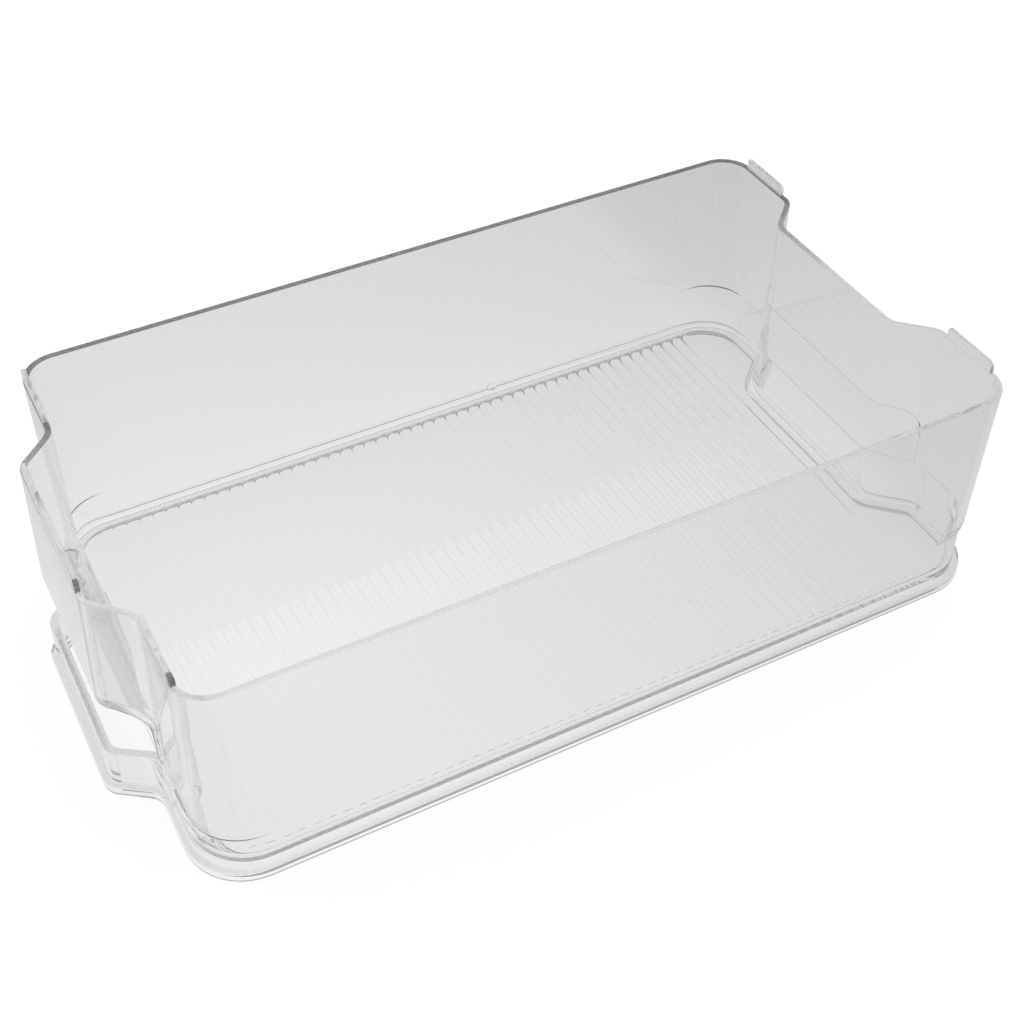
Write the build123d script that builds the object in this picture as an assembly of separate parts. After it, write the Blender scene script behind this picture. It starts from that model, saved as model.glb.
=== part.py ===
from build123d import *
import math
import os

# Fridge bin: an open tub moulded in one shot from clear plastic. Each node is one
# region of that moulding, cut where the shape itself changes, face to face with
# its neighbours. X runs across the bin, -Y is the front with the finger handle,
# +Y is the back with the recess, Z is up and the foot stands on Z = 0.

# Tub
LENGTH = 350.0
WIDTH = 205.0
RIM_Z = 102.0
WALL = 2.5
LEAN = 1.8
RIM_CORNER_R = 15.0
FOOT_CORNER_R = 23.0
STEP_R = 8.0

# Front bulge, at the rim and at the foot
BULGE_DEPTH_RIM = 15.0
BULGE_DEPTH_FOOT = 18.0
BULGE_FACE_RIM = 40.0
BULGE_FACE_FOOT = 38.5
BULGE_ROOT_RIM = 54.5
BULGE_ROOT_FOOT = 50.0

# Back recess, at the rim and at the foot
RECESS_DEPTH_RIM = 15.0
RECESS_DEPTH_FOOT = 16.7
RECESS_FACE_RIM = 40.0
RECESS_FACE_FOOT = 42.0
RECESS_ROOT_RIM = 54.5
RECESS_ROOT_FOOT = 57.5

# Where one region of the moulding ends and the next begins
FACE_CUT = BULGE_FACE_FOOT - 5.5
STEP_CUT = RECESS_ROOT_FOOT + 3.5
CORNER_CUT = FOOT_CORNER_R + LEAN + 1.7

# Floor
FLOOR_TOP = 7.5
FLOOR_THICK = 2.5
FILLET_R = 4.5
FILLET_LAND = 0.3
RIB_PITCH = 6.0
RIB_WIDTH = 2.4
RIB_HEIGHT = 0.7
RIB_END_GAP = 0.5
RIB_FRONT_MARGIN = 21.0
RIB_BACK_MARGIN = 29.0

# Foot flange and the thicker plinth above it
FLANGE_HEIGHT = 4.0
FLANGE_OUT = 2.0
PLINTH_OUT = 1.4
PLINTH_FADE = 2.8
FRONT_PLINTH_TOP = 21.5
BACK_PLINTH_TOP = 30.5

# Handle: the strip of the bulge that stays below the window
HANDLE_TOP = FRONT_PLINTH_TOP
HANDLE_OUT = 0.8

# Window and finger pocket
WINDOW_HALF = BULGE_ROOT_FOOT + 1.0
WINDOW_TOP = 48.0
WINDOW_R = 12.0
POCKET_R = 18.5
POCKET_HALF = WINDOW_HALF + 6.0

# Grip panel pressed into the back
GRIP_HALF = RECESS_ROOT_RIM + 1.0
GRIP_TOP = 58.0
GRIP_R = 10.0
GRIP_DEPTH = 1.2

# Stacking lugs on the rim
LUG_HEIGHT = 5.0
LUG_THICK = 2.0
LUG_INSET = 0.25
LUG_R = 3.0
LUG_FROM_STEP = 5.5
FRONT_LUG_FROM_SIDE = 11.5
BACK_LUG_FROM_SIDE = 15.0
MIDDLE_LUG_HALF = BULGE_FACE_RIM - 5.0

# Gate mark on the outside of the left wall
GATE_Y = 42.0
GATE_Z = 8.6
GATE_R = 2.6
GATE_OUT = 0.8

# Derived
HALF_RIM = WIDTH / 2
HALF_FOOT = HALF_RIM - LEAN
END_RIM = LENGTH / 2
END_FOOT = END_RIM - LEAN
PLINTH_END = END_FOOT + PLINTH_OUT
HANDLE_FRONT = END_FOOT + BULGE_DEPTH_FOOT + HANDLE_OUT
FOOT_FRONT = HANDLE_FRONT + FLANGE_OUT
FOOT_BACK = PLINTH_END + FLANGE_OUT
CENTRE_Y = (FOOT_FRONT - FOOT_BACK) / 2
RIB_FIRST_Y = RIB_FRONT_MARGIN - END_RIM
RIB_COUNT = int((LENGTH - RIB_FRONT_MARGIN - RIB_BACK_MARGIN) / RIB_PITCH) + 1
X_CORNER = HALF_RIM - CORNER_CUT
Y_CORNER = END_RIM - CORNER_CUT
Y_BULGE = END_RIM - WALL * 2 - 4.0
Y_ENDS = END_RIM * 0.7
FRONT_LUG = (BULGE_ROOT_RIM + LUG_FROM_STEP, HALF_RIM - FRONT_LUG_FROM_SIDE)
BACK_LUG = (RECESS_ROOT_RIM + LUG_FROM_STEP + 0.5, HALF_RIM - BACK_LUG_FROM_SIDE)
FAR = 260.0


def rounded_outline(corners, inset, z):
    """Closed outline through rounded corners (x, y, radius), moved inwards by inset."""
    count = len(corners)
    edges = []
    tips = []
    for i in range(count):
        here = Vector(corners[i][0], corners[i][1])
        before = Vector(corners[i - 1][0], corners[i - 1][1])
        after = Vector(corners[(i + 1) % count][0], corners[(i + 1) % count][1])
        a = (here - before).normalized()
        b = (after - here).normalized()
        turn = a.X * b.Y - a.Y * b.X
        side_a = Vector(-a.Y, a.X)
        side_b = Vector(-b.Y, b.X)
        tip = here + (side_a + side_b) * (inset / (1 + side_a.dot(side_b)))
        radius = corners[i][2] - inset if turn > 0 else corners[i][2] + inset
        half = math.atan2(abs(turn), a.dot(b)) / 2
        reach = radius * math.tan(half)
        start = tip - a * reach
        end = tip + b * reach
        inward = (b - a).normalized()
        centre = tip + inward * (radius / math.cos(half))
        middle = centre - inward * radius
        tips.append((start, middle, end))
    for i in range(count):
        start, middle, end = [Vector(p.X, p.Y, z) for p in tips[i]]
        following = tips[(i + 1) % count][0]
        edges.append(ThreePointArc(start, middle, end))
        edges.append(Line(end, Vector(following.X, following.Y, z)))
    return Wire(edges)


def plan(half, front, back, nose, dent, nose_at, dent_at, corner_r):
    """Corners of the bin's outline, counter-clockwise from the left end of the bulge."""
    return [
        (-nose_at[1], -front, STEP_R),
        (-nose_at[0], -nose, STEP_R),
        (nose_at[0], -nose, STEP_R),
        (nose_at[1], -front, STEP_R),
        (half, -front, corner_r),
        (half, back, corner_r),
        (dent_at[1], back, STEP_R),
        (dent_at[0], dent, STEP_R),
        (-dent_at[0], dent, STEP_R),
        (-dent_at[1], back, STEP_R),
        (-half, back, corner_r),
        (-half, -front, corner_r),
    ]


def tub_plan(t):
    """The wall's outside between the foot (t = 0) and the rim (t = 1)."""
    def between(foot, rim):
        return foot + (rim - foot) * t

    half = between(HALF_FOOT, HALF_RIM)
    end = between(END_FOOT, END_RIM)
    return plan(
        half,
        end,
        end,
        end + between(BULGE_DEPTH_FOOT, BULGE_DEPTH_RIM),
        end - between(RECESS_DEPTH_FOOT, RECESS_DEPTH_RIM),
        (between(BULGE_FACE_FOOT, BULGE_FACE_RIM), between(BULGE_ROOT_FOOT, BULGE_ROOT_RIM)),
        (between(RECESS_FACE_FOOT, RECESS_FACE_RIM), between(RECESS_ROOT_FOOT, RECESS_ROOT_RIM)),
        between(FOOT_CORNER_R, RIM_CORNER_R),
    )


def foot_plan(half, out, corner_r):
    """The plinth and the foot flange stand upright, out from the wall at the foot."""
    return plan(
        half,
        PLINTH_END + out,
        PLINTH_END + out,
        HANDLE_FRONT + out,
        END_FOOT - RECESS_DEPTH_FOOT + PLINTH_OUT + out,
        (BULGE_FACE_FOOT + out * 0.5, BULGE_ROOT_FOOT + 0.6 + out * 0.5),
        (RECESS_FACE_FOOT - out * 0.5, RECESS_ROOT_FOOT - 0.6 - out * 0.5),
        corner_r,
    )


def block(x0, x1, y0, y1, z0, z1):
    return Pos((x0 + x1) / 2, (y0 + y1) / 2, (z0 + z1) / 2) * Box(x1 - x0, y1 - y0, z1 - z0)


def tub_solid(inset):
    """All the space inside the outline from the ground to the rim."""
    foot = rounded_outline(tub_plan(0), inset, 0)
    rim = rounded_outline(tub_plan(1), inset, RIM_Z)
    return loft([Face(foot), Face(rim)], ruled=True)


def straight_solid(inset):
    """The same space with plain ends, without the bulge and the recess."""
    sections = []
    for t in (0, 1):
        half = HALF_FOOT + LEAN * t - inset
        end = END_FOOT + LEAN * t - inset
        corners = [(-half, -end), (half, -end), (half, end), (-half, end)]
        sections.append(Face(Wire.make_polygon([Vector(x, y, RIM_Z * t) for x, y in corners])))
    return loft(sections, ruled=True)


def upright(corners, z0, z1):
    return extrude(Face(rounded_outline(corners, 0, z0)), z1 - z0, (0, 0, 1))


OUTSIDE = tub_solid(0)
INSIDE = tub_solid(WALL)
SHELL = OUTSIDE - INSIDE
PLINTH = upright(foot_plan(HALF_FOOT - PLINTH_FADE, 0, FOOT_CORNER_R), FLANGE_HEIGHT, BACK_PLINTH_TOP)
FLANGE = upright(foot_plan(HALF_FOOT + FLANGE_OUT, FLANGE_OUT, FOOT_CORNER_R + FLANGE_OUT), 0, FLANGE_HEIGHT)
FOOT_RING = FLANGE - INSIDE


def wall_region(x0, x1, y0, y1, z0=FLANGE_HEIGHT, z1=RIM_Z):
    return SHELL & block(x0, x1, y0, y1, z0, z1)


def side_wall(side):
    x0, x1 = sorted((side * (HALF_FOOT - 9), side * FAR))
    return wall_region(x0, x1, -Y_CORNER, Y_CORNER)


def corner(side, end):
    x0, x1 = sorted((side * X_CORNER, side * FAR))
    y0, y1 = sorted((end * Y_CORNER, end * FAR))
    return wall_region(x0, x1, y0, y1)


def end_panel(side, end):
    x0, x1 = sorted((side * STEP_CUT, side * X_CORNER))
    y0, y1 = sorted((end * Y_ENDS, end * FAR))
    return wall_region(x0, x1, y0, y1)


def pocket():
    """Finger space: the window's outline along Y, closed behind by a quarter round."""
    wall_y = -(END_FOOT + LEAN * pocket_spring() / RIM_Z - WALL)
    axis_y = wall_y - POCKET_R
    spring = pocket_spring()
    arch = Pos(0, axis_y, spring) * Rot(0, 90, 0) * Cylinder(POCKET_R, POCKET_HALF * 4)
    below = block(-FAR, FAR, -FAR, wall_y, 0, spring)
    ahead = block(-FAR, FAR, -FAR, axis_y, 0, WINDOW_TOP)
    window = extrude(window_face(WINDOW_HALF, HANDLE_TOP, WINDOW_TOP, WINDOW_R), FAR, (0, -1, 0))
    return (arch + below + ahead) & window


def pocket_spring():
    return WINDOW_TOP - POCKET_R


def window_face(half, z0, z1, radius):
    """Upright outline in XZ with square lower and rounded upper corners."""
    outline = Wire([
        Line((-half, 0, z0), (half, 0, z0)),
        Line((half, 0, z0), (half, 0, z1 - radius)),
        TangentArc((half, 0, z1 - radius), (half - radius, 0, z1), tangent=(0, 0, 1)),
        Line((half - radius, 0, z1), (-half + radius, 0, z1)),
        TangentArc((-half + radius, 0, z1), (-half, 0, z1 - radius), tangent=(-1, 0, 0)),
        Line((-half, 0, z1 - radius), (-half, 0, z0)),
    ])
    return Face(outline)


def bulge_face():
    return wall_region(-FACE_CUT, FACE_CUT, -FAR, -Y_BULGE, HANDLE_TOP) - pocket()


def bulge_step(side):
    x0, x1 = sorted((side * FACE_CUT, side * STEP_CUT))
    return wall_region(x0, x1, -FAR, -Y_BULGE, HANDLE_TOP) - pocket()


def grip_press():
    """Shallow rebate in the outer surface of the back recess."""
    skin = OUTSIDE - tub_solid(GRIP_DEPTH)
    reach = extrude(window_face(GRIP_HALF, BACK_PLINTH_TOP, GRIP_TOP, GRIP_R), FAR, (0, 1, 0))
    return skin & reach


def recess_face():
    return wall_region(-FACE_CUT, FACE_CUT, Y_ENDS, FAR) - grip_press()


def recess_step(side):
    x0, x1 = sorted((side * FACE_CUT, side * STEP_CUT))
    return wall_region(x0, x1, Y_ENDS, FAR) - grip_press()


def front_lower_wall():
    """Closes the tub behind the pocket, one wall behind the front wall."""
    behind = straight_solid(WALL) - straight_solid(WALL * 2)
    return behind & block(-POCKET_HALF, POCKET_HALF, -FAR, -Y_BULGE + 6, 0, pocket_spring())


def pocket_roof():
    """Curved roof of the finger pocket, from the lower wall up to the bulge's face."""
    spring = pocket_spring()
    wall_y = -(END_FOOT + LEAN * spring / RIM_Z - WALL)
    axis_y = wall_y - POCKET_R
    place = Pos(0, axis_y, spring) * Rot(0, 90, 0)
    arch = place * (Cylinder(POCKET_R + WALL, POCKET_HALF * 2) - Cylinder(POCKET_R, POCKET_HALF * 2))
    above = block(-POCKET_HALF, POCKET_HALF, axis_y, -Y_BULGE + 6, spring, RIM_Z)
    return arch & above & INSIDE


def pocket_side():
    """All the space in front of the lower wall's inner face, across the pocket."""
    return block(-POCKET_HALF, POCKET_HALF, -FAR, -Y_ENDS, -1, RIM_Z) - straight_solid(WALL * 2)


def floor_panel():
    slab = block(-FAR, FAR, -FAR, FAR, FLOOR_TOP - FLOOR_THICK, FLOOR_TOP)
    return (INSIDE & slab) - pocket_side()


def floor_bay(inset, z):
    """Outline of the clear space over the floor at one height."""
    t = z / RIM_Z
    corners = tub_plan(t)
    end = END_FOOT + LEAN * t
    straight = [(x, max(y, -end), r) for x, y, r in corners[4:]]
    return rounded_outline(straight, WALL + inset, z)


def floor_fillet():
    """Hollow round between the floor and the walls, all the way round."""
    sections = []
    for angle in (0, 30, 60, 90):
        inset = FILLET_LAND + FILLET_R * (1 - math.sin(math.radians(angle)))
        z = FLOOR_TOP + FILLET_R * (1 - math.cos(math.radians(angle)))
        sections.append(Face(floor_bay(inset, z)))
    bay = loft(sections, ruled=True)
    band = INSIDE & block(-FAR, FAR, -FAR, FAR, FLOOR_TOP, FLOOR_TOP + FILLET_R)
    return band - pocket_side() - bay


def rib_half(y):
    """Half the length of the rib at y: it ends short of the hollow round."""
    t = FLOOR_TOP / RIM_Z
    inset = WALL + FILLET_LAND + FILLET_R + RIB_END_GAP
    half = HALF_FOOT + LEAN * t - inset
    end = END_FOOT + LEAN * t - inset
    radius = FOOT_CORNER_R + (RIM_CORNER_R - FOOT_CORNER_R) * t - inset
    past = max(0, abs(y) + RIB_WIDTH / 2 - (end - radius))
    return half - radius + math.sqrt(radius ** 2 - past ** 2)


def floor_ribs():
    """Fine ribs across the floor."""
    ribs = []
    for i in range(RIB_COUNT):
        y = RIB_FIRST_Y + RIB_PITCH * i
        place = Pos(-rib_half(y), y, FLOOR_TOP) * Rot(0, 90, 0)
        ribs.append(extrude(place * rib_profile(), 2 * rib_half(y), (1, 0, 0)).solid())
    return Compound(children=ribs)


def rib_profile():
    """Low rounded ridge, drawn with its height along -X so that it stands up."""
    half = RIB_WIDTH / 2
    flat = half * 0.45
    return Face(Wire.make_polygon([
        Vector(0, -half, 0),
        Vector(0, half, 0),
        Vector(-RIB_HEIGHT, flat, 0),
        Vector(-RIB_HEIGHT, -flat, 0),
    ]))


def plinth(side, end):
    x0, x1 = sorted((side * STEP_CUT, side * FAR))
    y0, y1 = sorted((end * Y_ENDS, end * FAR))
    top = FRONT_PLINTH_TOP if end < 0 else BACK_PLINTH_TOP
    return (PLINTH - OUTSIDE) & block(x0, x1, y0, y1, FLANGE_HEIGHT, top)


def recess_plinth():
    return (PLINTH - OUTSIDE) & block(-STEP_CUT, STEP_CUT, Y_ENDS, FAR, FLANGE_HEIGHT, BACK_PLINTH_TOP)


def foot_run(x0, x1, y0, y1):
    return FOOT_RING & block(x0, x1, y0, y1, 0, FLANGE_HEIGHT)


def side_foot(side):
    x0, x1 = sorted((side * (HALF_FOOT - 9), side * FAR))
    return foot_run(x0, x1, -Y_CORNER, Y_CORNER)


def corner_foot(side, end):
    x0, x1 = sorted((side * X_CORNER, side * FAR))
    y0, y1 = sorted((end * Y_CORNER, end * FAR))
    return foot_run(x0, x1, y0, y1)


def end_foot(side, end):
    x0, x1 = sorted((side * STEP_CUT, side * X_CORNER))
    y0, y1 = sorted((end * Y_ENDS, end * FAR))
    return foot_run(x0, x1, y0, y1)


def recess_foot():
    return foot_run(-STEP_CUT, STEP_CUT, Y_ENDS, FAR)


def handle(x0, x1):
    """Strip of the bulge below the window, with its share of the foot flange."""
    foot = foot_run(x0, x1, -FAR, -Y_BULGE)
    strip = (PLINTH - INSIDE) & block(x0, x1, -FAR, -Y_BULGE, FLANGE_HEIGHT, HANDLE_TOP)
    return foot + strip


def lug(x0, x1, end):
    """Upright tongue on the rim; its +X end has a rounded upper corner."""
    rim = tub_plan(1)
    outer = Face(rounded_outline(rim, LUG_INSET, RIM_Z))
    inner = Face(rounded_outline(rim, LUG_INSET + LUG_THICK, RIM_Z))
    strip = extrude(outer, LUG_HEIGHT, (0, 0, 1)) - extrude(inner, LUG_HEIGHT, (0, 0, 1))
    z1 = RIM_Z + LUG_HEIGHT
    side_view = Face(Wire([
        Line((x0, 0, RIM_Z), (x1, 0, RIM_Z)),
        Line((x1, 0, RIM_Z), (x1, 0, z1 - LUG_R)),
        TangentArc((x1, 0, z1 - LUG_R), (x1 - LUG_R, 0, z1), tangent=(0, 0, 1)),
        Line((x1 - LUG_R, 0, z1), (x0, 0, z1)),
        Line((x0, 0, z1), (x0, 0, RIM_Z)),
    ]))
    return strip & extrude(side_view, FAR, (0, end, 0))


def gate_mark():
    """Low round stub where the plastic entered the mould."""
    start = -(HALF_FOOT + GATE_OUT + LEAN * GATE_Z / RIM_Z)
    stub = Pos(start + 2, GATE_Y, GATE_Z) * Rot(0, 90, 0) * Cylinder(GATE_R, 4)
    return stub - OUTSIDE & block(-FAR, -HALF_FOOT + 0.5, -FAR, FAR, 0, RIM_Z)


def save(name, shape):
    placed = Pos(0, CENTRE_Y, 0) * shape
    placed.label = name
    export_step(placed, "parts/" + name + ".step")


os.makedirs("parts", exist_ok=True)
for side, hand in ((1, "right"), (-1, "left")):
    save(hand + "_side_wall", side_wall(side))
    save(hand + "_foot_rail", side_foot(side))
    save("front_bulge_" + hand + "_step", bulge_step(side))
    save("back_recess_" + hand + "_step", recess_step(side))
    arm_x = sorted((side * FACE_CUT, side * STEP_CUT))
    save("handle_" + hand + "_arm", handle(arm_x[0], arm_x[1]))
    for end, place in ((-1, "front_"), (1, "back_")):
        save(place + hand + "_corner", corner(side, end))
        save(place + hand + "_panel", end_panel(side, end))
        save(place + hand + "_plinth", plinth(side, end))
        save(place + hand + "_foot_corner", corner_foot(side, end))
        save(place + hand + "_foot_rail", end_foot(side, end))
save("front_bulge_face", bulge_face())
save("back_recess_face", recess_face())
save("back_recess_plinth", recess_plinth())
save("back_recess_foot_rail", recess_foot())
save("handle_bar", handle(-FACE_CUT, FACE_CUT))
save("front_lower_wall", front_lower_wall())
save("finger_pocket_roof", pocket_roof())
save("floor_panel", floor_panel())
save("floor_fillet", floor_fillet())
save("floor_ribs", floor_ribs())
save("gate_mark", gate_mark())
save("front_right_lug", lug(FRONT_LUG[0], FRONT_LUG[1], -1))
save("front_left_lug", lug(-FRONT_LUG[1], -FRONT_LUG[0], -1))
save("front_middle_lug", lug(-MIDDLE_LUG_HALF, MIDDLE_LUG_HALF, -1))
save("back_right_lug", lug(BACK_LUG[0], BACK_LUG[1], 1))
save("back_left_lug", lug(-BACK_LUG[1], -BACK_LUG[0], 1))
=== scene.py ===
import bmesh
import bpy
import math
from mathutils import Matrix, Vector


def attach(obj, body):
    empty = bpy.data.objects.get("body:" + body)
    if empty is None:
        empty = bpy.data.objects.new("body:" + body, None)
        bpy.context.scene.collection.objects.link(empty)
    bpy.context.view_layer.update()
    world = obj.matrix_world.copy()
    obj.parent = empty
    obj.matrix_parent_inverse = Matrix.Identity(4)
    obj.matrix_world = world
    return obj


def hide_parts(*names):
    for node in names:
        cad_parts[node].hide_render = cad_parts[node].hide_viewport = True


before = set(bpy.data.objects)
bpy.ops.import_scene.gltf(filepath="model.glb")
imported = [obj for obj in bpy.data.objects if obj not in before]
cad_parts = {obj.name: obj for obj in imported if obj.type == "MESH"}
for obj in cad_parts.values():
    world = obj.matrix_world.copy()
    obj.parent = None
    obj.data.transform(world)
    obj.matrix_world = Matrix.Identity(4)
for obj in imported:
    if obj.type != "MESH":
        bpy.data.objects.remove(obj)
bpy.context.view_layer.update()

# Camera
# The photograph was taken from over the front right corner, looking down at the
# bin, and then cropped, which the small shift stands for.
camera_data = bpy.data.cameras.new("photo_camera")
camera_data.lens = 61.529
camera_data.sensor_width = 36
camera_data.shift_y = -0.2002
camera_data.clip_end = 50
camera = bpy.data.objects.new("photo_camera", camera_data)
camera_azimuth = math.radians(62.321)
camera_height = math.radians(36.799)
toward_camera = Vector((
    math.sin(camera_azimuth) * math.cos(camera_height),
    -math.cos(camera_azimuth) * math.cos(camera_height),
    math.sin(camera_height),
))
camera.rotation_euler = toward_camera.to_track_quat("Z", "Y").to_euler()
camera.location = (0.48532, -0.24533, 0.54769)
bpy.context.collection.objects.link(camera)
bpy.context.scene.camera = camera


# Tub
# The whole bin is one injection moulding in clear, slightly grey plastic: four
# leaning walls, a raised floor, a foot that goes on down to the shelf with a
# flange round it, and a bulged front. It is drawn ring by ring, as one skin.

# Sizes are in millimetres. A pair in brackets is the size at the foot and at the
# rim, because the walls lean. The nose is the bulge in front, the dent the recess behind.
MM = 0.001
TUB_SHIFT_Y = 8.7
RIM_Z = 102.0
WALL = 2.5
HALF_WIDTH = (100.7, 102.5)
HALF_LENGTH = (173.2, 175.0)
CORNER_R = (23.0, 15.0)
NOSE_DEPTH, NOSE_FACE, NOSE_ROOT = (18.0, 15.0), (38.5, 40.0), (50.0, 54.5)
DENT_DEPTH, DENT_FACE, DENT_ROOT = (16.7, 15.0), (42.0, 40.0), (57.5, 54.5)
STEP_R = 8
SHARP_R = 0.3
PLINTH_END, PLINTH_NOSE, PLINTH_DENT = 174.6, 192.0, 157.9
PLINTH_NOSE_ROOT, PLINTH_DENT_ROOT = 50.6, 56.9
LEDGE_R = 25.5
HANDLE_TOP = 21.5
BACK_LEDGE_TOP = 30.5
FLANGE_TOP = 4.0
FLANGE_OUT = 2.0
FLOOR_TOP = 7.5
FLOOR_UNDER = 5.0
FLOOR_HOLLOW_R = 4.5
UNDER_SLOPE = 4.0
WINDOW_TOP = 48.0
POCKET_R = 18.5
POCKET_WALL_Y = 171.2
POCKET_HALF = 57.0
ROOF_CORNER_R = 5.5
LEAST_REACH, LEAST_DEPTH = 0.1, 0.05


def leaning(size, z):
    """A size of the leaning walls at a height."""
    foot, rim = size
    return foot + (rim - foot) * z / RIM_Z


def wall_corners(z):
    """The outside of the wall at a height: (x, y, radius), from the bulge's left root."""
    half = leaning(HALF_WIDTH, z)
    end = leaning(HALF_LENGTH, z)
    nose = end + leaning(NOSE_DEPTH, z)
    dent = end - leaning(DENT_DEPTH, z)
    nose_face, nose_root = leaning(NOSE_FACE, z), leaning(NOSE_ROOT, z)
    dent_face, dent_root = leaning(DENT_FACE, z), leaning(DENT_ROOT, z)
    corner = leaning(CORNER_R, z)
    return [
        (-nose_root, -end, STEP_R), (-nose_face, -nose, STEP_R),
        (nose_face, -nose, STEP_R), (nose_root, -end, STEP_R),
        (half, -end, corner), (half, end, corner),
        (dent_root, end, STEP_R), (dent_face, dent, STEP_R),
        (-dent_face, dent, STEP_R), (-dent_root, end, STEP_R),
        (-half, end, corner), (-half, -end, corner),
    ]


def flange_corners(out):
    """The foot's outline, by how far it stands out from the upright plinth."""
    half = HALF_WIDTH[0] + out
    end = PLINTH_END + out
    nose = PLINTH_NOSE + out
    dent = PLINTH_DENT + out
    nose_face, nose_root = NOSE_FACE[0] + out / 2, PLINTH_NOSE_ROOT + out / 2
    dent_face, dent_root = DENT_FACE[0] - out / 2, PLINTH_DENT_ROOT - out / 2
    corner = CORNER_R[0] + out
    return [
        (-nose_root, -end, STEP_R), (-nose_face, -nose, STEP_R),
        (nose_face, -nose, STEP_R), (nose_root, -end, STEP_R),
        (half, -end, corner), (half, end, corner),
        (dent_root, end, STEP_R), (dent_face, dent, STEP_R),
        (-dent_face, dent, STEP_R), (-dent_root, end, STEP_R),
        (-half, end, corner), (-half, -end, corner),
    ]


def ledge_corners(front_z, back_z, inset=0.0):
    """Over the flange the end walls are thicker; the ledge fades round the corners."""
    front, back = leaning(HALF_WIDTH, front_z), leaning(HALF_WIDTH, back_z)
    corners = flange_corners(0.0)
    corners[4], corners[11] = (front, -PLINTH_END, LEDGE_R), (-front, -PLINTH_END, LEDGE_R)
    corners[5], corners[10] = (back, PLINTH_END, LEDGE_R), (-back, PLINTH_END, LEDGE_R)
    tips = [(x, y - inset if y > 0 else y + inset, radius) for x, y, radius in corners]
    return [tip + (front_z if tip[1] < 0 else back_z,) for tip in tips]


def wall_above_ledge(front_z, back_z):
    """The wall's own outline, at the ledge's height in front and behind."""
    front, back = wall_corners(front_z), wall_corners(back_z)
    return [(f + (front_z,)) if f[1] < 0 else (b + (back_z,)) for f, b in zip(front, back)]


def moved_in(corners, inset):
    """The same outline with every side moved inwards."""
    moved = []
    for i, (x, y, radius) in enumerate(corners):
        here = Vector((x, y))
        a = (here - Vector(corners[i - 1][:2])).normalized()
        b = (Vector(corners[(i + 1) % len(corners)][:2]) - here).normalized()
        turn = a.x * b.y - a.y * b.x
        side_a, side_b = Vector((-a.y, a.x)), Vector((-b.y, b.x))
        tip = here + (side_a + side_b) * (inset / (1 + side_a.dot(side_b)))
        moved.append((tip.x, tip.y, max(SHARP_R, radius - inset if turn > 0 else radius + inset)))
    return moved


def ring_mesh(corners, z):
    """One outline as a face through its corners, each rounded by the bevel."""
    ring = bmesh.new()
    heights = [corner[3] if len(corner) > 3 else z for corner in corners]
    tips = [ring.verts.new((corner[0] * MM, (corner[1] + TUB_SHIFT_Y) * MM, height * MM))
            for corner, height in zip(corners, heights)]
    ring.faces.new(tips)
    for i, corner in enumerate(corners):
        here = Vector(corner[:2])
        a = here - Vector(corners[i - 1][:2])
        b = Vector(corners[(i + 1) % len(corners)][:2]) - here
        reach = max(LEAST_REACH, corner[2] * math.tan(a.angle(b) / 2))
        bmesh.ops.bevel(ring, geom=[tips[i]], offset=reach * MM, offset_type="OFFSET",
                        affect="VERTICES", segments=10, profile=0.5, material=-1,
                        clamp_overlap=False)
    made = bpy.data.meshes.new("ring")
    ring.to_mesh(made)
    ring.free()
    return made


def lofted(name, rings):
    """A closed solid through a stack of rings, capped by its first and last ring."""
    solid = bmesh.new()
    sheets = []
    for corners, z in rings:
        ring = ring_mesh(corners, z)
        before = len(solid.faces)
        solid.from_mesh(ring)
        solid.faces.ensure_lookup_table()
        sheets.append(solid.faces[before])
        bpy.data.meshes.remove(ring)
    for lower, upper in zip(sheets, sheets[1:]):
        bmesh.ops.bridge_loops(solid, edges=list(lower.edges) + list(upper.edges))
    bmesh.ops.delete(solid, geom=sheets[1:-1], context="FACES_ONLY")
    return finished(name, solid)


def finished(name, solid):
    """The bmesh as an object at the origin, its faces outwards."""
    bmesh.ops.recalc_face_normals(solid, faces=solid.faces)
    mesh = bpy.data.meshes.new(name)
    solid.to_mesh(mesh)
    solid.free()
    made = bpy.data.objects.new(name, mesh)
    bpy.context.collection.objects.link(made)
    return made


def combined(body, tools, operation):
    """The body with the tools joined on, cut away or kept in common, as one plain mesh."""
    for tool in tools:
        step = body.modifiers.new(operation.lower(), "BOOLEAN")
        step.operation = operation
        step.solver = "EXACT"
        step.object = tool
    bpy.context.view_layer.update()
    seen = body.evaluated_get(bpy.context.evaluated_depsgraph_get())
    mesh = bpy.data.meshes.new_from_object(seen)
    body.modifiers.clear()
    old = body.data
    body.data = mesh
    bpy.data.meshes.remove(old)
    for tool in tools:
        used = tool.data
        bpy.data.objects.remove(tool)
        bpy.data.meshes.remove(used)
    return body


def straight_front(front_y, back_y):
    """Behind the finger pocket the hollow ends straight across, with sharp corners."""
    return [(-POCKET_HALF, front_y, SHARP_R), (-POCKET_HALF, back_y, SHARP_R),
            (POCKET_HALF, back_y, SHARP_R), (POCKET_HALF, front_y, SHARP_R)]


def under_corners(z):
    """The hollow under the floor: straight in front, behind the pocket's lower wall."""
    corners = moved_in(wall_corners(z), WALL)
    wall_y = WALL - leaning(HALF_LENGTH, z)
    return straight_front(wall_y, wall_y + WALL) + corners[4:]


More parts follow.
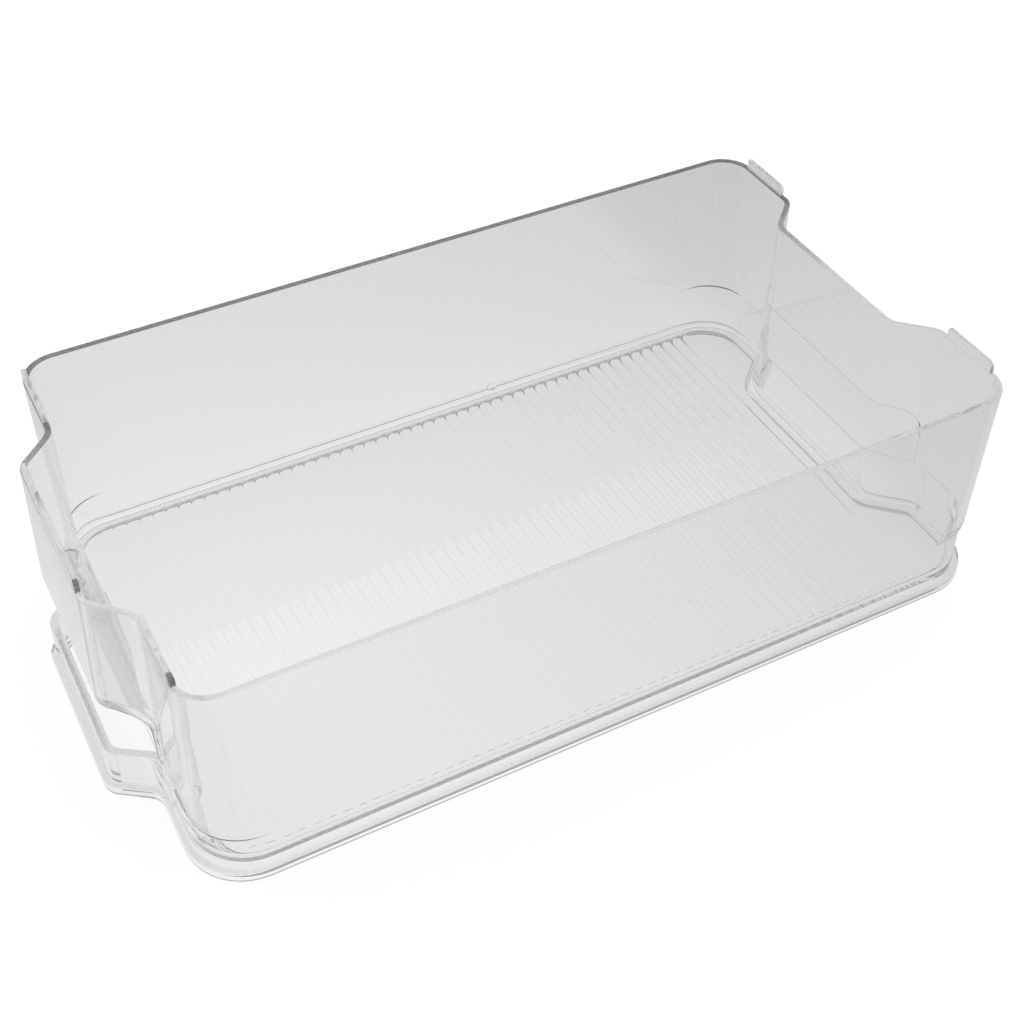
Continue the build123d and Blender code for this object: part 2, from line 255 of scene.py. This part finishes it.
def cavity_corners(z, inset=0.0):
    """The inside of the tub; over the pocket the front follows the pocket's roof."""
    corners = moved_in(wall_corners(z), WALL + inset)
    wall_y = WALL + inset - leaning(HALF_LENGTH, z)
    rise = z - (WINDOW_TOP - POCKET_R)
    roof_r = POCKET_R + WALL
    face, root = corners[2], corners[3]
    if rise <= 0:
        roof_y = wall_y + WALL
    elif rise < roof_r:
        roof_y = -(POCKET_WALL_Y + POCKET_R) + math.sqrt(roof_r ** 2 - rise ** 2)
    else:
        roof_y = -math.inf
    if roof_y > wall_y - SHARP_R:
        # The pocket stands in the tub, over the pocket's whole width
        front = straight_front(wall_y, max(roof_y, wall_y + LEAST_DEPTH))
    elif roof_y > face[1]:
        # The roof has run back into the bulge and closes only part of it
        share = (roof_y - root[1]) / (face[1] - root[1])
        x = root[0] + (face[0] - root[0]) * share
        soft = SHARP_R + (ROOF_CORNER_R - SHARP_R) * share
        front = [(-root[0], root[1], STEP_R), (-x, roof_y, soft),
                 (x, roof_y, soft), (root[0], root[1], STEP_R)]
    else:
        # Above the pocket the inside follows the bulge
        front = corners[:4]
    return front + corners[4:]


# A rounded edge has a ring at each end of its radius and one halfway round. A flat
# ledge rises by a hair's breadth, so that no two rings lie at the same height.
EDGE_R, EDGE_MIDDLE = 0.5, 0.15
FOOT_EDGE_R, FOOT_EDGE_MIDDLE = 0.4, 0.12
SLOPE_EDGE, SLOPE_EDGE_DOWN = 0.6, 0.2
HAIR, RIM_HAIR = 0.03, 0.02
WALL_HEIGHTS = (40.0, 60.0, 80.0)
CAVITY_HEIGHTS = (80.0, 60.0, 50.6, 50.2, 49.5, 48.4, 46.5, 44.0, 41.0, 39.0, 35.0, 29.5, 24.0)
slope_end = FLOOR_UNDER - UNDER_SLOPE
foot = flange_corners(FLANGE_OUT)
rim = wall_corners(RIM_Z)
# The underside, from the hollow below the floor down to the shelf
rings = [
    (moved_in(under_corners(FLOOR_UNDER), UNDER_SLOPE), FLOOR_UNDER),
    (moved_in(under_corners(FLOOR_UNDER - SLOPE_EDGE_DOWN), UNDER_SLOPE - SLOPE_EDGE),
     FLOOR_UNDER - SLOPE_EDGE_DOWN),
    (moved_in(under_corners(slope_end), SLOPE_EDGE_DOWN), slope_end + SLOPE_EDGE),
    (under_corners(slope_end), slope_end),
    (under_corners(0.0), SHARP_R),
    (moved_in(under_corners(0.0), -SHARP_R), 0.0),
]
# The outside, up the flange and over the ledge to the rim
rings += [
    (moved_in(foot, FOOT_EDGE_R), 0.0),
    (moved_in(foot, FOOT_EDGE_MIDDLE), FOOT_EDGE_MIDDLE),
    (foot, FOOT_EDGE_R),
    (foot, FLANGE_TOP - EDGE_R),
    (moved_in(foot, EDGE_MIDDLE), FLANGE_TOP - EDGE_MIDDLE),
    (moved_in(foot, EDGE_R), FLANGE_TOP),
    (ledge_corners(FLANGE_TOP + HAIR, FLANGE_TOP + HAIR), 0),
    (ledge_corners(HANDLE_TOP - EDGE_R, BACK_LEDGE_TOP - EDGE_R), 0),
    (ledge_corners(HANDLE_TOP - EDGE_MIDDLE, BACK_LEDGE_TOP - EDGE_MIDDLE, EDGE_MIDDLE), 0),
    (ledge_corners(HANDLE_TOP, BACK_LEDGE_TOP, EDGE_R), 0),
    (wall_above_ledge(HANDLE_TOP + HAIR, BACK_LEDGE_TOP + HAIR), 0),
]
rings += [(wall_corners(z), z) for z in WALL_HEIGHTS + (RIM_Z - EDGE_R,)]
rings += [
    (moved_in(rim, EDGE_MIDDLE), RIM_Z - EDGE_MIDDLE),
    (moved_in(rim, EDGE_R), RIM_Z),
    (cavity_corners(RIM_Z, -EDGE_R), RIM_Z - RIM_HAIR),
    (cavity_corners(RIM_Z, -EDGE_MIDDLE), RIM_Z - EDGE_MIDDLE),
]
# The inside, down to the hollow round between wall and floor
rings += [(cavity_corners(z), z) for z in (RIM_Z - EDGE_R,) + CAVITY_HEIGHTS]
for degrees in range(90, -1, -15):
    inset = FLOOR_HOLLOW_R * (1 - math.sin(math.radians(degrees)))
    z = FLOOR_TOP + FLOOR_HOLLOW_R * (1 - math.cos(math.radians(degrees)))
    rings.append((cavity_corners(z, inset), z))
tub = lofted("clear_tub", rings)


# Finger window and handle
# A window through the bulge with a quarter-round pocket behind it. The strip of
# wall left below the window is the handle, and it is open underneath.
def prism(outline, start, end, along="Y"):
    """A plate: the outline (across, z, radius) pulled out along Y or X, in mm."""
    plate = bmesh.new()
    tips = [plate.verts.new((across * MM, start * MM, z * MM)) for across, z, radius in outline]
    plate.faces.new(tips)
    for tip, (across, z, radius) in zip(tips, outline):
        if radius:
            bmesh.ops.bevel(plate, geom=[tip], offset=radius * MM, offset_type="OFFSET",
                            affect="VERTICES", segments=12, profile=0.5, material=-1,
                            clamp_overlap=False)
    pulled = bmesh.ops.extrude_face_region(plate, geom=list(plate.faces))
    far_end = [v for v in pulled["geom"] if isinstance(v, bmesh.types.BMVert)]
    bmesh.ops.translate(plate, verts=far_end, vec=(0, (end - start) * MM, 0))
    if along == "X":
        bmesh.ops.rotate(plate, verts=plate.verts, matrix=Matrix.Rotation(-math.pi / 2, 3, "Z"))
    return plate


def shifted(plate):
    """From the tub's own middle to the middle of the whole bin."""
    bmesh.ops.translate(plate, verts=plate.verts, vec=(0, TUB_SHIFT_Y * MM, 0))
    return plate


WINDOW_HALF = 51
WINDOW_R = 12
HANDLE_MIDDLE = 10.0
# A cutting piece reaches well past what it cuts
OUTSIDE_Y, INSIDE_Y, BESIDE_X = 215, 150, 70
UNDER_HANDLE = (-2.0, 24.0)
window = finished("window", shifted(prism([
    (-WINDOW_HALF, HANDLE_TOP, 0), (WINDOW_HALF, HANDLE_TOP, 0),
    (WINDOW_HALF, WINDOW_TOP, WINDOW_R), (-WINDOW_HALF, WINDOW_TOP, WINDOW_R)],
    -OUTSIDE_Y, -INSIDE_Y)))
pocket = finished("pocket", shifted(prism([
    (OUTSIDE_Y, FLOOR_UNDER, 0), (POCKET_WALL_Y, FLOOR_UNDER, 0),
    (POCKET_WALL_Y, WINDOW_TOP, POCKET_R), (OUTSIDE_Y, WINDOW_TOP, 0)],
    -BESIDE_X, BESIDE_X, "X")))
combined(window, [pocket], "INTERSECT")
inner = moved_in(wall_corners(HANDLE_MIDDLE), WALL)
face, root = inner[2], inner[3]
step_x = root[0] + (face[0] - root[0]) * (POCKET_WALL_Y + root[1]) / (root[1] - face[1])
hole_outline = [(-step_x, -POCKET_WALL_Y, EDGE_R), inner[1],
                face, (step_x, -POCKET_WALL_Y, EDGE_R)]
handle_hole = lofted("handle_hole", [(hole_outline, z) for z in UNDER_HANDLE])
combined(tub, [window, handle_hole], "DIFFERENCE")


# Grip panel
# The middle of the back wall is pressed in by about a millimetre from the ledge
# up, and the rebate runs out towards its top. It gives fingers a hold behind.
GRIP_HALF = 55.5
GRIP_BOTTOM, GRIP_TOP = BACK_LEDGE_TOP + 2 * HAIR, 58
GRIP_R = 10
# The rebate's depth at each height: z, depth
GRIP_DEPTHS = ((20.0, 1.2), (48.0, 1.2), (57.5, 0.25), (70.0, 0.2))
grip = finished("grip", shifted(prism([
    (-GRIP_HALF, GRIP_BOTTOM, 0), (GRIP_HALF, GRIP_BOTTOM, 0),
    (GRIP_HALF, GRIP_TOP, GRIP_R), (-GRIP_HALF, GRIP_TOP, GRIP_R)], INSIDE_Y, OUTSIDE_Y)))
core = lofted("grip_core", [(moved_in(wall_corners(z), depth), z) for z, depth in GRIP_DEPTHS])
combined(grip, [core], "DIFFERENCE")
combined(tub, [grip], "DIFFERENCE")


# Stacking lugs
# Five upright tongues moulded on the rim, three in front and two behind. Each has
# one rounded upper corner, and the mould leaves a small radius on its edges.
LUG_HEIGHT = 5.0
LUG_SETBACK = 0.25
LUG_CORNER_R, LUG_EDGE_R = 3, 0.3
LUG_SHARP_ANGLE = 0.7
FRONT_LUG_END = 91
MIDDLE_LUG_END = 35
# Each lug's place: from x, to x, from y, to y
LUG_PLACES = (
    (60, FRONT_LUG_END, -190, -160), (-FRONT_LUG_END, -60, -190, -160),
    (-MIDDLE_LUG_END, MIDDLE_LUG_END, -205, -180),
    (60.5, 87.5, 160, 190), (-87.5, -60.5, 160, 190),
)


def rounded_edges(piece, radius, lowest):
    """A small radius on every sharp edge above a height."""
    solid = bmesh.new()
    solid.from_mesh(piece.data)
    sharp = [edge for edge in solid.edges
             if edge.is_manifold and edge.calc_face_angle() > LUG_SHARP_ANGLE
             and max(end.co.z for end in edge.verts) > lowest * MM]
    bmesh.ops.bevel(solid, geom=sharp, offset=radius * MM, offset_type="OFFSET", affect="EDGES",
                    segments=3, profile=0.5, material=-1, clamp_overlap=True)
    solid.to_mesh(piece.data)
    solid.free()


# A lug starts a little way down in the wall, and the pieces that cut it reach past it.
lug_top = RIM_Z + LUG_HEIGHT
lug_outside = moved_in(rim, LUG_SETBACK)
lug_inside = moved_in(rim, WALL - LUG_SETBACK)
lugs = []
for x0, x1, y0, y1 in LUG_PLACES:
    lug = lofted("lug", [(lug_outside, RIM_Z - 1), (lug_outside, lug_top)])
    hollow = lofted("hollow", [(lug_inside, RIM_Z - 3), (lug_inside, lug_top + 3)])
    combined(lug, [hollow], "DIFFERENCE")
    side_view = finished("side_view", shifted(prism([
        (x0, RIM_Z - 2, 0), (x1, RIM_Z - 2, 0),
        (x1, lug_top, LUG_CORNER_R), (x0, lug_top, EDGE_R)], y0, y1)))
    combined(lug, [side_view], "INTERSECT")
    rounded_edges(lug, LUG_EDGE_R, RIM_Z)
    lugs.append(lug)
combined(tub, lugs, "UNION")


# Floor ribs
# Fifty-one low ribs run across the floor and stop short of the walls. They stiffen
# the floor and keep food off it. Each is an oval bar sunk in up to its flat top.
RIB_FIRST_Y = -154.0
RIB_PITCH = 6.0
RIB_COUNT = 51
RIB_HALF_WIDTH, RIB_HALF_HEIGHT, RIB_SUNK = 2.4, 0.75, 0.35
RIB_END_X, RIB_END_MARGIN = 93.1, 1.2
FLOOR_CORNER_Y = 151.4
FLOOR_CORNER_R = 14.2
ribs = bmesh.new()
for number in range(RIB_COUNT):
    y = RIB_FIRST_Y + RIB_PITCH * number
    into_corner = max(0.0, abs(y) + RIB_END_MARGIN - FLOOR_CORNER_Y)
    half = RIB_END_X - FLOOR_CORNER_R + math.sqrt(FLOOR_CORNER_R ** 2 - into_corner ** 2)
    start = (-half * MM, (y + TUB_SHIFT_Y) * MM, (FLOOR_TOP - RIB_SUNK) * MM)
    bar = bmesh.ops.create_circle(ribs, cap_ends=True, segments=24, radius=MM)
    bmesh.ops.rotate(ribs, verts=bar["verts"], matrix=Matrix.Rotation(math.pi / 2, 3, "Y"))
    bmesh.ops.scale(ribs, verts=bar["verts"], vec=(1, RIB_HALF_WIDTH, RIB_HALF_HEIGHT))
    bmesh.ops.translate(ribs, verts=bar["verts"], vec=start)
    end_face = bar["verts"][0].link_faces[0]
    pulled = bmesh.ops.extrude_face_region(ribs, geom=[end_face], use_keep_orig=True)
    far_end = [v for v in pulled["geom"] if isinstance(v, bmesh.types.BMVert)]
    bmesh.ops.translate(ribs, verts=far_end, vec=(2 * half * MM, 0, 0))
combined(tub, [finished("ribs", ribs)], "UNION")


# Gate mark
# The round stub low on the left wall where the plastic entered the mould.
GATE_R = 2.6 * MM
GATE_LENGTH = 2 * MM
GATE_EDGE_R = 0.35 * MM
GATE_PLACE = (-100.65 * MM, (42.0 + TUB_SHIFT_Y) * MM, 8.6 * MM)
gate = bmesh.new()
bmesh.ops.create_cone(gate, cap_ends=True, segments=32, radius1=GATE_R, radius2=GATE_R,
                      depth=GATE_LENGTH)
gate_rims = [edge for edge in gate.edges if any(len(end.verts) > 4 for end in edge.link_faces)]
bmesh.ops.bevel(gate, geom=gate_rims, offset=GATE_EDGE_R, offset_type="OFFSET", affect="EDGES",
                segments=3, profile=0.5, material=-1)
bmesh.ops.rotate(gate, verts=gate.verts, matrix=Matrix.Rotation(math.pi / 2, 3, "Y"))
bmesh.ops.translate(gate, verts=gate.verts, vec=GATE_PLACE)
combined(tub, [finished("gate", gate)], "UNION")


# Finished tub
# The moulding as it leaves the mould: polished, clear, with a faint grey tint and
# the slight unevenness that moulded sheets have. A few edges carry painted shade in
# the tint, where clear plastic throws the light aside: far rim, foot, lug ends, window end.
TINT_DEEP, TINT_LIGHT = (0.915, 0.916, 0.916, 1), (0.935, 0.936, 0.936, 1)
ROUGH_LEAST, ROUGH_MOST = 0.02, 0.06
# The share of light that is left at the edges with painted shade
RIM_PAINTED_SHADE, FOOT_PAINTED_SHADE, LUG_PAINTED_SHADE, WINDOW_PAINTED_SHADE = 0.08, 0.15, 0.1, 0.2


def calculated(tree, operation, first, second):
    """A number worked out from two others."""
    node = tree.nodes.new("ShaderNodeMath")
    node.operation = operation
    tree.links.new(first, node.inputs[0])
    tree.links.new(second, node.inputs[1])
    return node.outputs["Value"]


def ranged(tree, value, start, end, at_start, at_end, kind="LINEAR"):
    """A number that goes from at_start to at_end while the value goes from start to end."""
    node = tree.nodes.new("ShaderNodeMapRange")
    node.interpolation_type = kind
    for name, number in (("From Min", start), ("From Max", end),
                         ("To Min", at_start), ("To Max", at_end)):
        node.inputs[name].default_value = number
    tree.links.new(value, node.inputs["Value"])
    return node.outputs["Result"]


def painted_shade_place(tree, spot, limits):
    """The share of light left by painted shade: 1 outside the limits (axis, clear at, dark at, share
    left).
    """
    shades = [ranged(tree, spot.outputs[axis], clear * MM, dark * MM, 1.0, share)
              for axis, clear, dark, share in limits]
    left = shades[0]
    for shade in shades[1:]:
        left = calculated(tree, "MAXIMUM", left, shade)
    return left


def lug_end_painted_shade(x):
    """Painted shade on the last two millimetres of a lug that ends at x."""
    return (("Z", RIM_Z + 0.1, RIM_Z + 0.6, LUG_PAINTED_SHADE), ("X", x - 2.8, x - 2.0, 0.0),
            ("X", x + 0.8, x + 0.2, 0.0))


# Painted shade on the far rim, in place of the darker surroundings that the rim mirrors and pipes
far_rim_painted_shade = (("Z", RIM_Z - 0.8, RIM_Z - 0.4, RIM_PAINTED_SHADE), ("Z", RIM_Z + 0.4, RIM_Z + 0.1, 0.0),
           ("X", 0.0, -60.0, 0.0))
# Painted shade along the foot's bottom edge: a contact shadow where the plastic meets the table
foot_edge_painted_shade = (("Z", 1.3, 0.7, FOOT_PAINTED_SHADE),)
# Painted shade down the window's end at +X, where its cut edge throws the light aside
window_end_painted_shade = (("Z", HANDLE_TOP, HANDLE_TOP + 1.0, WINDOW_PAINTED_SHADE), ("Z", 42.0, 36.0, 0.0),
              ("X", WINDOW_HALF - 0.7, WINDOW_HALF - 0.3, 0.0),
              ("X", WINDOW_HALF + 0.8, WINDOW_HALF + 0.3, 0.0), ("Y", -155.0, -160.0, 0.0))
material = bpy.data.materials.new("clear_plastic")
material.use_nodes = True
tree = material.node_tree
plastic = tree.nodes["Principled BSDF"]
plastic.inputs["Transmission Weight"].default_value = 1.0
plastic.inputs["IOR"].default_value = 1.57
place = tree.nodes.new("ShaderNodeTexCoord")
flow = tree.nodes.new("ShaderNodeTexNoise")
flow.inputs["Scale"].default_value = 14
flow.inputs["Detail"].default_value = 2
tree.links.new(place.outputs["Object"], flow.inputs["Vector"])
haze = ranged(tree, flow.outputs["Fac"], 0.0, 1.0, ROUGH_LEAST, ROUGH_MOST)
tree.links.new(haze, plastic.inputs["Roughness"])
tint = tree.nodes.new("ShaderNodeValToRGB")
tint.color_ramp.elements[0].color = TINT_DEEP
tint.color_ramp.elements[1].color = TINT_LIGHT
tree.links.new(flow.outputs["Fac"], tint.inputs["Fac"])
spot = tree.nodes.new("ShaderNodeSeparateXYZ")
tree.links.new(place.outputs["Object"], spot.inputs[0])
# The painted shade of every dark edge, multiplied together and laid on the tint as its base colour
painted_light_left = painted_shade_place(tree, spot, far_rim_painted_shade)
for limits in (foot_edge_painted_shade, lug_end_painted_shade(MIDDLE_LUG_END), lug_end_painted_shade(FRONT_LUG_END), window_end_painted_shade):
    painted_light_left = calculated(tree, "MULTIPLY", painted_light_left, painted_shade_place(tree, spot, limits))
tint_with_painted_shade = tree.nodes.new("ShaderNodeVectorMath")
tint_with_painted_shade.operation = "SCALE"
tree.links.new(tint.outputs["Color"], tint_with_painted_shade.inputs[0])
tree.links.new(painted_light_left, tint_with_painted_shade.inputs["Scale"])
tree.links.new(tint_with_painted_shade.outputs[0], plastic.inputs["Base Color"])
swell = tree.nodes.new("ShaderNodeBump")
swell.inputs["Strength"].default_value = 0.04
swell.inputs["Distance"].default_value = 0.002
tree.links.new(flow.outputs["Fac"], swell.inputs["Height"])
tree.links.new(swell.outputs["Normal"], plastic.inputs["Normal"])
depth = tree.nodes.new("ShaderNodeVolumeAbsorption")
depth.inputs["Color"].default_value = (0.2, 0.2, 0.2, 1)
depth.inputs["Density"].default_value = 0.6
tree.links.new(depth.outputs[0], tree.nodes["Material Output"].inputs["Volume"])
tub.data.materials.clear()
tub.data.materials.append(material)
for polygon in tub.data.polygons:
    polygon.use_smooth = True
tub.data.set_sharp_from_angle(angle=math.radians(32))
weighted = tub.modifiers.new("even_shading", "WEIGHTED_NORMAL")
weighted.keep_sharp = True
weighted.weight = 100
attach(tub, "root")
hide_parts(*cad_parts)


# Table
# A white table top. The camera sees it as plain white with a faint shadow. Through
# the plastic it shows a painted pool of light: brightest under the front of the bin,
# falling off softly to the back and to the sides, as in the photograph.
TABLE_SEEN, SHADOW_GREY = 0.90, (0.16, 0.16, 0.16, 1)
PAINTED_LIGHT_CENTRE = (0.015, -0.11, 0)
PAINTED_LIGHT_REACH, PAINTED_LIGHT_NEAR, PAINTED_LIGHT_FAR = 0.45, 0.98, 0.715
# Towards the back, the front and the left the painted light drops further: axis, from, to, share left
PAINTED_LIGHT_DROPS = (("Y", 0.16, 0.20, 0.92), ("Y", -0.155, -0.172, 0.90), ("X", -0.05, -0.16, 0.94))


def mixed(tree, share, first, second):
    """One shader where the share is 0 and another where it is 1."""
    node = tree.nodes.new("ShaderNodeMixShader")
    tree.links.new(share, node.inputs["Fac"])
    tree.links.new(first.outputs[0], node.inputs[1])
    tree.links.new(second.outputs[0], node.inputs[2])
    return node


ground = bmesh.new()
bmesh.ops.create_grid(ground, x_segments=1, y_segments=1, size=6)
floor = finished("studio_floor", ground)
table = bpy.data.materials.new("studio_table")
table.use_nodes = True
tree = table.node_tree
matt = tree.nodes["Principled BSDF"]
matt.inputs["Base Color"].default_value = (0.95, 0.95, 0.95, 1)
matt.inputs["Roughness"].default_value = 0.9
shadow = tree.nodes.new("ShaderNodeBsdfDiffuse")
shadow.inputs["Color"].default_value = SHADOW_GREY
white = tree.nodes.new("ShaderNodeEmission")
white.inputs["Strength"].default_value = TABLE_SEEN
seen = tree.nodes.new("ShaderNodeAddShader")
tree.links.new(shadow.outputs[0], seen.inputs[0])
tree.links.new(white.outputs[0], seen.inputs[1])
place = tree.nodes.new("ShaderNodeTexCoord")
distance = tree.nodes.new("ShaderNodeVectorMath")
distance.operation = "DISTANCE"
distance.inputs[1].default_value = PAINTED_LIGHT_CENTRE
tree.links.new(place.outputs["Object"], distance.inputs[0])
axes = tree.nodes.new("ShaderNodeSeparateXYZ")
tree.links.new(place.outputs["Object"], axes.inputs[0])
# Painted light: for rays through the plastic the table glows brightest at one place and less further
# off
painted_light = ranged(tree, distance.outputs["Value"], 0.0, PAINTED_LIGHT_REACH, PAINTED_LIGHT_NEAR, PAINTED_LIGHT_FAR)
for axis, start, end, share in PAINTED_LIGHT_DROPS:
    painted_light_drop = ranged(tree, axes.outputs[axis], start, end, 1.0, share, "SMOOTHSTEP")
    painted_light = calculated(tree, "MULTIPLY", painted_light, painted_light_drop)
painted_light_glow = tree.nodes.new("ShaderNodeEmission")
tree.links.new(painted_light, painted_light_glow.inputs["Strength"])
ray = tree.nodes.new("ShaderNodeLightPath")
indirect = calculated(tree, "MAXIMUM", ray.outputs["Is Glossy Ray"], ray.outputs["Is Transmission Ray"])
top = mixed(tree, ray.outputs["Is Camera Ray"], mixed(tree, indirect, matt, painted_light_glow), seen)
tree.links.new(top.outputs[0], tree.nodes["Material Output"].inputs["Surface"])
floor.data.materials.append(table)


# Tent
# An even white tent round the table lights the bin. Rays that have come through the
# plastic see it darken just over the horizon, which greys the walls.
TENT_SEEN, TENT_LIGHT = 1.0, 0.85
DUSK_FROM, DUSK_TO, DUSK_LIGHT = 0.02, 0.15, 0.25
world = bpy.data.worlds.new("studio")
bpy.context.scene.world = world
world.use_nodes = True
tree = world.node_tree
tent = tree.nodes["Background"]
tent.inputs["Color"].default_value = (1, 1, 1, 1)
tent.inputs["Strength"].default_value = TENT_LIGHT
backdrop = tree.nodes.new("ShaderNodeBackground")
backdrop.inputs["Color"].default_value = (1, 1, 1, 1)
backdrop.inputs["Strength"].default_value = TENT_SEEN
heading = tree.nodes.new("ShaderNodeTexCoord")
height = tree.nodes.new("ShaderNodeSeparateXYZ")
tree.links.new(heading.outputs["Generated"], height.inputs[0])
dusk = ranged(tree, height.outputs["Z"], DUSK_FROM, DUSK_TO, TENT_LIGHT, DUSK_LIGHT)
upward = tree.nodes.new("ShaderNodeBackground")
tree.links.new(dusk, upward.inputs["Strength"])
ray = tree.nodes.new("ShaderNodeLightPath")
around = mixed(tree, ray.outputs["Is Camera Ray"],
               mixed(tree, ray.outputs["Is Transmission Ray"], tent, upward), backdrop)
tree.links.new(around.outputs[0], tree.nodes["World Output"].inputs["Surface"])

# Picture
# Light runs along inside the clear walls and floor, so a ray is followed for a long
# way. With fewer bounces the edges and the rim come out too dark.
BOUNCES = 128
scene = bpy.context.scene
scene.view_settings.view_transform = "Standard"
scene.cycles.max_bounces = BOUNCES
scene.cycles.transmission_bounces = BOUNCES
scene.cycles.glossy_bounces = BOUNCES
